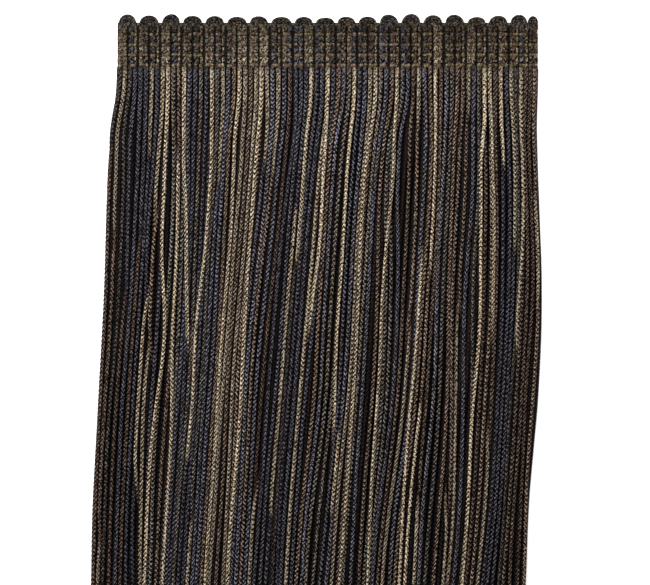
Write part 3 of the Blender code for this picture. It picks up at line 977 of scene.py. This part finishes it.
def attribute(board, name, output="Fac"):
    """An attribute of the mesh, for a material."""
    return board.add("ShaderNodeAttribute", attribute_name=name).other(output)


def places_of(board):
    """A place on a piece, its depth below the scallops' tops, and its level above the surface."""
    here = board.add("ShaderNodeTexCoord").other("Object")
    return here, SCALLOP_TOPS - board.axis(here, "Y"), board.axis(here, "Z")


def tinted(board, shade, tint, painted_shade_warmth):
    """A colour made lighter or darker by a number; most of the darkening below is painted shade. Dark places
    lose a little more of their green and blue, which makes that painted shade warmer.
    """
    cool = tint * tint.maths("MINIMUM", 1.0) ** (painted_shade_warmth - 1.0)
    return board.mix(1.0, shade, board.vector(tint, cool, cool), "MULTIPLY")


print("white dye", [round(value, 2) for value in dye(255, 255, 255)])

# %% [markdown]
# ## Yarn finish
#
# Rayon yarn has a soft sheen. What makes it read as chained is the contrast inside each stitch: rails and
# rungs show the dye, and the eyes get a near-black painted shade, since light gets lost between the fibres.
# Hardly any light arrives on the flanks of packed yarns, or between the two layers. So shade is painted into
# the colour by height and by how far a place faces up, and that painted shade is a little warmer. Slow noise
# shifts the dye along each strand, and fine noise stands for the fibres. In the heading the yarns are matted.
# Clumps break up their stitches, and all dyes mix a little with the olive of the threads that are stitched
# through. Shade is also painted on yarn where a stitched row draws it in, and on blurred yarn, most of all at
# the top of the heading.

# %% Yarn materials
YARN_LOOKS = {
    # name: usual dye, its warmer or cooler turn, the near-black painted shade in the eyes of the stitches, how
    # wide those look, and how much warmer its painted shade gets
    "tan": ((222, 208, 181), (216, 197, 166), (44, 29, 17), 0.0, 1.18),
    "navy": ((144, 143, 160), (137, 130, 134), (8, 6, 7), 0.2, 1.12),
    "brown": ((170, 147, 131), (162, 138, 117), (18, 11, 7), 0.2, 1.22),
    "charcoal": ((146, 140, 134), (140, 127, 113), (8, 6, 5), 0.2, 1.2),
}
BINDING_OLIVE = (104, 92, 68)
PATCH_DARK, PATCH_LIGHT = (36, 32, 38), (170, 158, 126)
DYE_SCALE, PATCH_SCALE, CLUMP_SCALE, FIBRE_SCALE = 170.0, 800.0, 1500.0, 2400.0
# pairs: where a soft step in noise, height, level or depth starts and ends, the last two in metres
DYE_STEP, CLUMP_STEP, FIBRE_STEP = (0.4, 0.64), (0.38, 0.62), (0.36, 0.64)
DARK_PATCH_STEP, LIGHT_PATCH_STEP = (0.52, 0.62), (0.47, 0.38)
LIT_STEP, FLANK_STEP = (0.28, 0.92), (0.08, 0.66)
# painted shade between the layers: the levels over which it lifts, above them and below them
FRONT_LEVELS, BACK_LEVELS = (0.00142, 0.0027), (0.0009, 0.0003)
MATTED_DEPTHS = (0.0172, 0.0148)
ROW_STEP, FIRST_ROW_DEPTHS = (0.2, 1.0), (0.004, 0.0052)
# shares: how much each thing adds to the colour, or takes from the light
OLIVE_SHARE, DARK_PATCH_SHARE, LIGHT_PATCH_SHARE = 0.45, 0.7, 0.6
STRAND_TURN, STRAND_LIGHT = 0.1, 0.3
FIBRE_BREAK, CLUMP_BREAK, MATTED_LOSS = 0.7, 0.9, 0.3
# how much painted shade darkens blurred yarn, most of all at the heading's top, and yarn by a stitched row
HEADING_SHADE, ROW_SHADE = 0.84, 0.45
# painted shade: the light left on a flank, on a matted flank, and at the deepest level between the layers
FLANK, MATTED_FLANK, DEEPEST = 0.08, 0.4, 0.018
FIBRE_LIGHT = (0.45, 1.4)
YARN_RELIEF = {"Strength": 0.8, "Distance": 0.00022}
FIBRE_RELIEF = 0.35
YARN_ROUGHNESS, FIBRE_ROUGHNESS, MATTED_ROUGHNESS = 0.42, 0.3, 0.4


def yarn_material(name, usual, turned, eye, darkness, painted_shade_warmth):
    """Knitted yarn of one dye, with painted shade in its eyes, on its flanks, between the layers, by the
    stitched rows and on blurred yarn.
    """
    material, board, shader = new_material(name)
    here, depth, level = places_of(board)
    along, slant = attribute(board, "stitch_place"), attribute(board, "slant")
    clarity, strand = attribute(board, "clarity"), attribute(board, "strand_dye")
    angle = board.add("ShaderNodeSeparateXYZ", {0: attribute(board, "round", "Vector")})
    facing_up = angle.other("Z").maths("ABSOLUTE")
    height = 1.0 - (1.0 - stitch_height(board, along, angle, angle.other("Y"), slant)) * clarity
    blur = 1.0 - clarity
    in_heading = board.step(depth, *MATTED_DEPTHS)
    matted = blur * in_heading
    fibres, clumps = board.noise(here, FIBRE_SCALE), board.noise(here, CLUMP_SCALE)
    grain, clumps = board.step(fibres, *FIBRE_STEP), board.step(clumps, *CLUMP_STEP)

    turn = board.step(board.noise(here, DYE_SCALE) + strand * STRAND_TURN, *DYE_STEP)
    shade = board.mix(turn, dye(*usual), dye(*turned))
    shade = board.mix(matted * OLIVE_SHARE, shade, dye(*BINDING_OLIVE))
    patches = board.noise(here, PATCH_SCALE, 3.0)
    dark, light = board.step(patches, *DARK_PATCH_STEP), board.step(patches, *LIGHT_PATCH_STEP)
    shade = board.mix(dark * matted * DARK_PATCH_SHARE, shade, dye(*PATCH_DARK))
    shade = board.mix(light * matted * LIGHT_PATCH_SHARE, shade, dye(*PATCH_LIGHT))

    rough = (grain - 0.5) * FIBRE_BREAK + (clumps - 0.5) * blur * CLUMP_BREAK
    # painted shade: where lit is low, the colour goes to the near-black eye dye: in the eyes of the stitches,
    # where fibres and clumps break them, and more in matted yarn
    lit = board.step(height + rough - clarity * darkness - matted * MATTED_LOSS, *LIT_STEP)
    shade = board.mix(lit, dye(*eye), shade)
    # painted shade: little light reaches yarn that lies low between the layers, and little reaches its flanks
    open_above_and_below = board.step(level, *FRONT_LEVELS) + board.step(level, *BACK_LEVELS)
    painted_layer_shade = open_above_and_below * (1 - DEEPEST) + DEEPEST
    painted_flank_shade = clarity * (1.0 - MATTED_FLANK) + MATTED_FLANK
    painted_flank_shade = (board.step(facing_up, *FLANK_STEP) - 1.0) * painted_flank_shade * (1 - FLANK) + 1.0
    # painted shade where a stitched row draws the yarns in, from the first row down
    rows = ((depth - BINDING_DEPTHS[0] * MM) * (math.tau / (ROW_PITCH * MM))).maths("COSINE")
    near_row = board.step(rows, *ROW_STEP) * in_heading * board.step(depth, *FIRST_ROW_DEPTHS)
    fibre_light = grain * FIBRE_LIGHT[1] + FIBRE_LIGHT[0]
    # painted shade on blurred yarn: most at the top of the heading, less below it and at the top of the skirt
    shade = tinted(board, shade, 1.0 - blur * HEADING_SHADE, 1.0)
    shade = tinted(board, shade, 1.0 - near_row * ROW_SHADE, 1.0)
    shade = tinted(board, shade, painted_layer_shade * painted_flank_shade * (strand * STRAND_LIGHT + 1.0) * fibre_light, painted_shade_warmth)

    roughness = fibres * FIBRE_ROUGHNESS + blur * MATTED_ROUGHNESS + YARN_ROUGHNESS
    finish_cloth(board, shader, shade, roughness, YARN_RELIEF, height + grain * FIBRE_RELIEF)
    return material


YARN_MATERIALS = {name: yarn_material(f"{name}_yarn", *looks) for name, looks in YARN_LOOKS.items()}
print("yarn materials", sorted(YARN_MATERIALS))

# %% [markdown]
# ## From a tree to a piece
#
# A tree runs as a modifier on a mesh that holds its routes or places. Its inputs are set by the identifiers
# of their sockets, and the evaluated shape is kept as a plain mesh on a new object.

# %% Running a tree
def set_inputs(modifier, **values):
    """Sets a Geometry Nodes modifier's inputs by the names of their sockets."""
    for item in modifier.node_group.interface.items_tree:
        key = item.name.lower().replace(" ", "_")
        if item.item_type == "SOCKET" and item.in_out == "INPUT" and key in values:
            modifier[item.identifier] = values[key]


def run_tree(tree, name, mesh, **values):
    """What a Geometry Nodes tree makes of a mesh, as a piece with a plain mesh."""
    holder = add_object(f"{name} holder", mesh)
    modifier = holder.modifiers.new("tree", "NODES")
    modifier.node_group = tree
    set_inputs(modifier, **values)
    graph = bpy.context.evaluated_depsgraph_get()
    mesh = bpy.data.meshes.new_from_object(holder.evaluated_get(graph), depsgraph=graph)
    mesh.name = name
    bpy.data.objects.remove(holder, do_unlink=True)
    return add_object(name, mesh)


def triangle_count(piece):
    """How many triangles a piece has."""
    piece.data.calc_loop_triangles()
    return len(piece.data.loop_triangles)


print("inputs of the yarn tree", list(YARN_INPUTS))

# %% [markdown]
# ## Making the yarns
#
# Routes of one colour and layer become one mesh of loose lines, with their attributes, and the yarn tree makes
# them yarns. The back layer gets by with fewer rings. The strands that come forward are knitted as the front
# ones are.

# %% Yarns from routes
YARN_SIZES = {
    "front": {"radius": 0.67 * MM, "width": 1.0, "sides": 8, "rings_a_stitch": 3, "relief": 0.3},
    "back": {"radius": 0.82 * MM, "width": 1.42, "sides": 8, "rings_a_stitch": 1, "relief": 0.1},
}
YARN_SIZES["riser"] = YARN_SIZES["front"]


def line_mesh(lines):
    """A mesh of loose lines with the attributes that the yarn tree reads."""
    points, edges, sides = [], [], []
    columns = {"along": [], "swell": [], "turn": [], "strand_dye": [], "slant": [], "clarity": []}
    for line in lines:
        first = len(points)
        along = line.start * MM
        wave_length, wave_phase, wave_size = line.turn_wave
        for index, point in enumerate(line.points):
            if index:
                along += (point - line.points[index - 1]).length * line.tightness
                edges.append((first + index - 1, first + index))
            before = line.points[max(index - 1, 0)]
            after = line.points[min(index + 1, len(line.points) - 1)]
            sides.extend(Vector((0, 0, 1)).cross(after - before).normalized())
            points.append(point)
            wave = wave_size * math.sin(math.tau * along / (wave_length * MM) + wave_phase)
            tip_darkened_dye = line.dye - line.tip_darkening * index / len(line.points)
            row = (along, line.swells[index], line.turn + wave, tip_darkened_dye, line.slant, line.clarities[index])
            for column, value in zip(columns.values(), row):
                column.append(value)
    mesh = bpy.data.meshes.new("routes")
    mesh.from_pydata(points, edges, [])
    for column, values in columns.items():
        mesh.attributes.new(column, "FLOAT", "POINT").data.foreach_set("value", values)
    mesh.attributes.new("side", "FLOAT_VECTOR", "POINT").data.foreach_set("vector", sides)
    return mesh


triangles = 0
for (layer, colour), lines in sorted(routes.items()):
    sizes, material = YARN_SIZES[layer], YARN_MATERIALS[colour]
    piece = run_tree(YARN_TREE, f"{layer}_{colour}_yarns", line_mesh(lines), material=material, **sizes)
    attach(piece, "root")
    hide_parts("heading", "skirt")
    triangles += triangle_count(piece)
    print(piece.name, len(lines), "yarns", triangle_count(piece), "triangles")
print("yarn triangles", triangles)

# %% [markdown]
# ## The ground of the heading
#
# Between the ribs one looks down on the ground that they are knitted into. It is a thin dark layer between the
# front yarns and the back ones, and its near-black colour is also painted shade of the grooves between the
# ribs. It follows the scallops at the top and fills the notches between them, where its loose fibres show
# browner.

# %% Ground
GROUND_LEVELS = (1.25, 1.8)
GROUND_STEP = 0.35
NOTCH_DEPTH = 2.05
# how far the ground stays inside the heading's ends, and the sides and tops of the scallops
END_INSET, SCALLOP_INSET, SCALLOP_SHY = 0.06, 0.73, 0.42
# the noise at which loose fibres begin and end to show, the colour between them, and their own; below the
# notches that colour is near black, partly painted shade of the grooves
GROUND_AND_GROOVE_SHADE_LOOK = ((0.48, 0.72), (6, 5, 4), (66, 56, 44))
NOTCH_LOOK = ((0.38, 0.62), (26, 21, 14), (128, 112, 84))
NOTCH_DEPTHS = (0.0034, 0.0026)
LOOSE_FIBRE_SCALE = 2200.0
GROUND_RELIEF = {"Strength": 0.8, "Distance": 0.0002}
GROUND_ROUGHNESS = 0.8


def ground_top(across):
    """How deep the ground's upper edge lies at a place across the heading."""
    for scallop, rise in enumerate(scallop_rises):
        centre, half = scallop_middle(scallop)
        part = (across - centre) / (half - SCALLOP_INSET)
        if abs(part) < 1.0:
            return min(NOTCH_DEPTH, SCALLOP_BASE - (rise - SCALLOP_SHY) * math.sqrt(1.0 - part * part))
    return NOTCH_DEPTH


def ground_mesh(name):
    """A thin slab from the scallops down to the skirt. Each column has four corners: two low, two high."""
    width = LANES * LANE_PITCH - 2 * END_INSET
    columns = int(width / GROUND_STEP)
    points, faces = [], []
    for column in range(columns + 1):
        across = END_INSET + width * column / columns
        for level in GROUND_LEVELS:
            points.append(place(across, ground_top(across), level))
            points.append(place(across, HEADING_DEPTH, level))
    for column in range(columns):
        near, far = 4 * column, 4 * column + 4
        faces.append((near, far, far + 1, near + 1))
        faces.append((near + 2, near + 3, far + 3, far + 2))
        faces.append((near, near + 2, far + 2, far))
        faces.append((near + 1, far + 1, far + 3, near + 3))
    faces.append((0, 1, 3, 2))
    last = 4 * columns
    faces.append((last, last + 2, last + 3, last + 1))
    mesh = bpy.data.meshes.new(name)
    mesh.from_pydata(points, [], faces)
    return mesh


def ground_material():
    """Dark matted yarn, painted near black below the notches as shade of the grooves between the ribs."""
    material, board, shader = new_material("ground")
    here, depth, _ = places_of(board)
    fibres = board.noise(here, LOOSE_FIBRE_SCALE)
    shade, notch_shade = (
        board.mix(board.step(fibres, *fibre_step), dye(*between), dye(*loose))
        for fibre_step, between, loose in (GROUND_AND_GROOVE_SHADE_LOOK, NOTCH_LOOK)
    )
    shade = board.mix(board.step(depth, *NOTCH_DEPTHS), shade, notch_shade)
    finish_cloth(board, shader, shade, GROUND_ROUGHNESS, GROUND_RELIEF, fibres)
    return material


ground = add_object("heading_ground", ground_mesh("heading_ground"))
ground.data.materials.append(ground_material())
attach(ground, "root")
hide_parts("heading")
print(ground.name, triangle_count(ground), "triangles")

# %% [markdown]
# ## The shape of a stitch
#
# Two fine threads run across the heading in each stitched row, and show as short stitches. One stitch shape is
# made as a short bent tube. Geometry Nodes places it on each point, a little turned and a little longer or
# shorter each time, and a fixed seed makes that come out the same in every run.

# %% Geometry Nodes for the stitches
STITCH_SEED = 5
STITCH_ARCH = 0.22
STITCH_CUTS = 6
TOP_LIFT = 1.4
# least and most, in radians and as shares of the size
TURNS = ((-0.1, -0.1, -0.35), (0.1, 0.1, 0.35))
GROWTHS = ((0.8, 0.8, 0.8), (1.1, 1.2, 1.15))
STITCH_INPUTS = {
    # name: kind of socket, usual value
    "Places": ("Geometry", None),
    "Span": ("Float", 1.0 * MM),
    "Arch": ("Float", STITCH_ARCH * MM),
    "Radius": ("Float", 0.25 * MM),
    "Seed": ("Int", STITCH_SEED),
    "Material": ("Material", None),
}


def stitch_tree():
    """A tree that lays one bent stitch on each point."""
    board, places = geometry_tree("cross stitches", STITCH_INPUTS, "Stitches")
    span, arch, seed = places.other("Span"), places.other("Arch"), places.other("Seed")
    start, end = (board.vector(span * side, 0.0, arch * -1.0) for side in (-0.5, 0.5))
    top = board.vector(0.0, 0.0, arch * TOP_LIFT)
    bend = {"Resolution": STITCH_CUTS, "Start": start, "Middle": top, "End": end}
    bend = board.add("GeometryNodeCurveQuadraticBezier", bend)
    ring = {"Resolution": STITCH_CUTS, "Radius": places.other("Radius")}
    ring = board.add("GeometryNodeCurvePrimitiveCircle", ring)
    tube = {"Curve": bend, "Profile Curve": ring, "Fill Caps": True}
    one = smooth(board, board.add("GeometryNodeCurveToMesh", tube))
    turn = {0: TURNS[0], 1: TURNS[1], "Seed": seed}
    turn = board.add("FunctionNodeRandomValue", turn, data_type="FLOAT_VECTOR")
    size = {0: GROWTHS[0], 1: GROWTHS[1], "Seed": seed + 1.0}
    size = board.add("FunctionNodeRandomValue", size, data_type="FLOAT_VECTOR")
    laid = {"Points": places, "Instance": one, "Rotation": turn, "Scale": size}
    return close_tree(board, board.add("GeometryNodeInstanceOnPoints", laid), places)


STITCH_TREE = stitch_tree()
print("stitch tree", len(STITCH_TREE.nodes), "nodes")

# %% [markdown]
# ## Stitched rows
#
# Of the olive-gold thread a small knot shows on either side of each rib. The rust one makes an arched stitch
# over the middle of most ribs, then goes under again. Fibres half hide the threads in the upper rows, and they
# show best in the lowest. So noise and depth break up and dim the colour of the threads, and the dimming of
# the upper rows is also painted shade. A thread is painted darker where it sits low, as shade.

# %% Thread finish
THREAD_DYES = {
    # name: its dye here and there
    "gold": ((168, 156, 136), (166, 154, 116)),
    "rust": ((146, 118, 98), (144, 123, 92)),
}
PLY_SCALE, STRETCH_SCALE, HIDING_SCALE = 2200.0, 60.0, 700.0
DYE_STRETCHES = (0.42, 0.58)
# soft steps in level, noise or depth: from, to, then how much light there is at either end
# painted shade: a thread that sits low gets less light, and so do those in the upper rows
LEVEL_LIGHT = (0.0022, 0.0031, 0.15, 1.0)
HIDING_LIGHT = (0.36, 0.6, 0.25, 1.0)
PLY_LIGHT = (0.35, 0.62, 0.3, 1.2)
DEPTH_LIGHT = (0.004, 0.016, 0.7, 1.1)
LAST_ROW_LIGHT = (0.0132, 0.0146, 0.0, 0.05)
# how much warmer the threads' painted shade gets
THREAD_SHADE_WARMTH = 1.1
THREAD_RELIEF = {"Strength": 0.5, "Distance": 0.0001}
THREAD_ROUGHNESS = 0.6


def thread_material(name, here_dye, there_dye):
    """Fine plied thread. Its dye goes from one to the other along the heading, and painted shade darkens it
    where it sits low and in the upper rows.
    """
    material, board, shader = new_material(name)
    here, depth, level = places_of(board)
    plies, hiding = board.noise(here, PLY_SCALE), board.noise(here, HIDING_SCALE)
    stretch = board.step(board.noise(here, STRETCH_SCALE, 1.0), *DYE_STRETCHES)
    lit = board.step(level, *LEVEL_LIGHT) * board.step(hiding, *HIDING_LIGHT) * board.step(plies, *PLY_LIGHT)
    lit = lit * (board.step(depth, *DEPTH_LIGHT) + board.step(depth, *LAST_ROW_LIGHT))
    shade = tinted(board, board.mix(stretch, dye(*here_dye), dye(*there_dye)), lit, THREAD_SHADE_WARMTH)
    finish_cloth(board, shader, shade, THREAD_ROUGHNESS, THREAD_RELIEF, plies)
    return material


THREAD_MATERIALS = {name: thread_material(f"{name}_thread", *dyes) for name, dyes in THREAD_DYES.items()}
print("thread materials", sorted(THREAD_MATERIALS))

# %% [markdown]
# ## Laying the rows
#
# Each thread gets one point for each of its stitches, by the ribs it crosses. No hand or needle is exact, so
# the points are a little astray, and here and there one is missing.

# %% The rows
THREADS = {
    # name: thread radius, span, offsets from the middle of a rib, share of ribs
    "gold": (0.58, 0.15, (-0.8, 0.8), 0.92),
    "rust": (0.62, 0.5, (0.0,), 0.88),
}
STITCH_LEVEL = 2.62
ROW_SAG = 0.2
STITCH_ASIDE, STITCH_ASTRAY = 0.1, 0.15


def stitch_places(offsets, share, dice):
    """Points near each rib in each row."""
    points = []
    for row in BINDING_DEPTHS:
        for rib in range(LANES // 2):
            middle = (rib_place(2 * rib) + rib_place(2 * rib + 1)) / 2
            for offset in offsets:
                across = middle + offset + dice.uniform(-STITCH_ASIDE, STITCH_ASIDE)
                depth = row + ROW_SAG + dice.uniform(-STITCH_ASTRAY, STITCH_ASTRAY)
                if dice.random() < share:
                    points.append(place(across, depth, STITCH_LEVEL))
    return points


stitch_dice = random.Random(STITCH_SEED)
for name, (radius, span, offsets, share) in THREADS.items():
    mesh = bpy.data.meshes.new("places")
    mesh.from_pydata(stitch_places(offsets, share, stitch_dice), [], [])
    values = {"radius": radius * MM, "span": span * MM, "material": THREAD_MATERIALS[name]}
    piece = run_tree(STITCH_TREE, f"binding_{name}_thread", mesh, **values)
    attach(piece, "root")
    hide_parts("binding_row_1", "binding_row_2", "binding_row_3", "binding_row_4")
    print(piece.name, triangle_count(piece), "triangles")

# %% [markdown]
# ## Floor and light
#
# The surface below is plain white, and glows just enough to wash out the fringe's own shadow. A broad light
# hangs over the heading's end. It lights the tops of the yarns and leaves their flanks dark, and the skirt gets
# darker towards its tips. A smaller one from the upper left brightens their left rails. The world gives very
# little light, and that is warm, so the gaps stay dark and brown.

# %% Floor and lights
FLOOR_REACH = 3.0
FLOOR_FINISH = {
    "Base Color": (0.92, 0.92, 0.92, 1.0),
    "Roughness": 0.9,
    "Emission Color": (1.0, 1.0, 1.0, 1.0),
    "Emission Strength": 0.5,
}
LIGHTS = {
    # name: place and width in metres, and power in watts
    "overhead": ((-0.05, 0.34, 0.5), 0.36, 4.4),
    "key": ((-0.42, 0.4, 0.65), 0.3, 3.4),
}
WORLD_FINISH = {"Color": (1.0, 0.82, 0.68, 1.0), "Strength": 0.15}

floor_mesh = bpy.data.meshes.new("floor")
corners = [(FLOOR_REACH * x, FLOOR_REACH * y, 0) for x, y in ((-1, -1), (1, -1), (1, 1), (-1, 1))]
floor_mesh.from_pydata(corners, [], [(0, 1, 2, 3)])
floor = add_object("floor", floor_mesh)
material, board, shader = new_material("floor")
for name, value in FLOOR_FINISH.items():
    board.put(shader.inputs[name], value)
floor_mesh.materials.append(material)


def softbox(name, location, size, power):
    """A square light that faces the middle of the fringe."""
    light = bpy.data.lights.new(name, "AREA")
    light.shape = "SQUARE"
    light.size = size
    light.energy = power
    lamp = add_object(name, light)
    lamp.location = location
    lamp.rotation_euler = (-Vector(location)).to_track_quat("-Z", "Y").to_euler()


for name, (location, size, power) in LIGHTS.items():
    softbox(name, location, size, power)
world = bpy.data.worlds.new("world")
world.use_nodes = True
for name, value in WORLD_FINISH.items():
    world.node_tree.nodes["Background"].inputs[name].default_value = value
bpy.context.scene.world = world
bpy.context.scene.view_settings.view_transform = "Standard"
